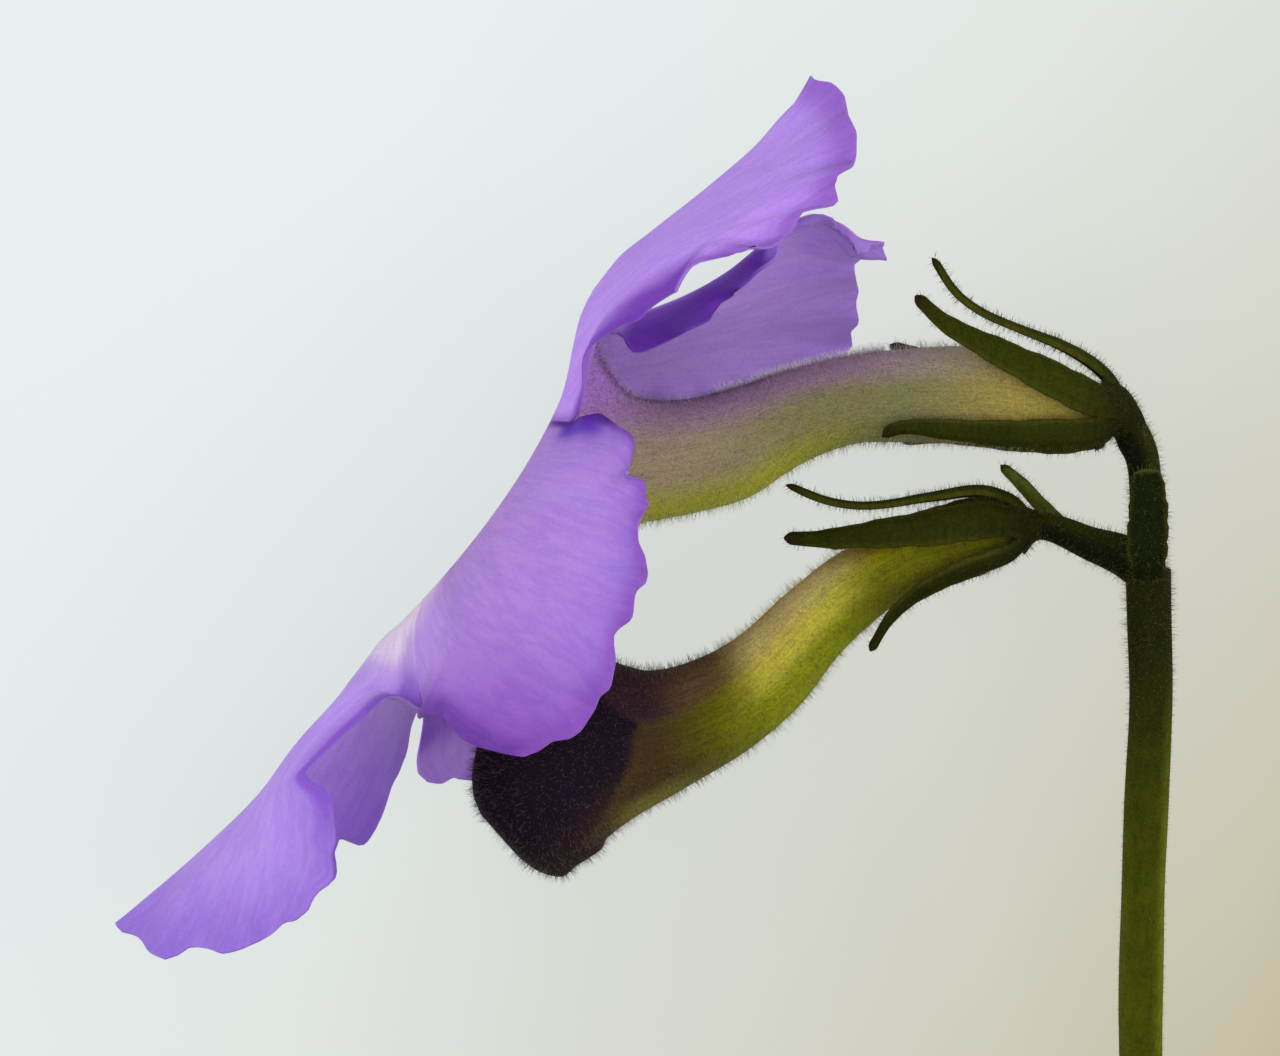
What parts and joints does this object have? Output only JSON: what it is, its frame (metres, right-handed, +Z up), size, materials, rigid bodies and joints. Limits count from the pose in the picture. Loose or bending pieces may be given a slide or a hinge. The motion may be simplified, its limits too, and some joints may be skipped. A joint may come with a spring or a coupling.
{
  "type": "cut cape primrose flower stalk",
  "caption": "Cut cape primrose stalk lying on a surface: hairy green stalk with two bracts, one open lilac five-lobed bloom with a long curved tube, and one closed bud.",
  "frame": {"origin": "on the surface that the stalk lies on, under the middle of the whole part's box", "axes": "+Z up from the surface; +Y from the cut end of the stalk towards the bloom; +X from the bloom's face towards the stalk"},
  "size_m": [0.0536, 0.084, 0.0328],
  "materials": {
    "petal_lilac": "matte",
    "bud_olive": "matte",
    "sepal_green": "matte",
    "bract_green": "matte",
    "stalk_green": "matte",
    "pistil_pale": "satin",
    "stamen_cream": "satin"
  },
  "bodies": {
    "root": {"flower_stalk": "stalk_green", "bract_near": "bract_green", "bract_far": "bract_green", "calyx_of_flower": "sepal_green", "calyx_of_bud": "sepal_green", "corolla": "petal_lilac", "bud_corolla": "bud_olive", "pistil": "pistil_pale", "stamens": "stamen_cream"}
  },
  "joints": []
}
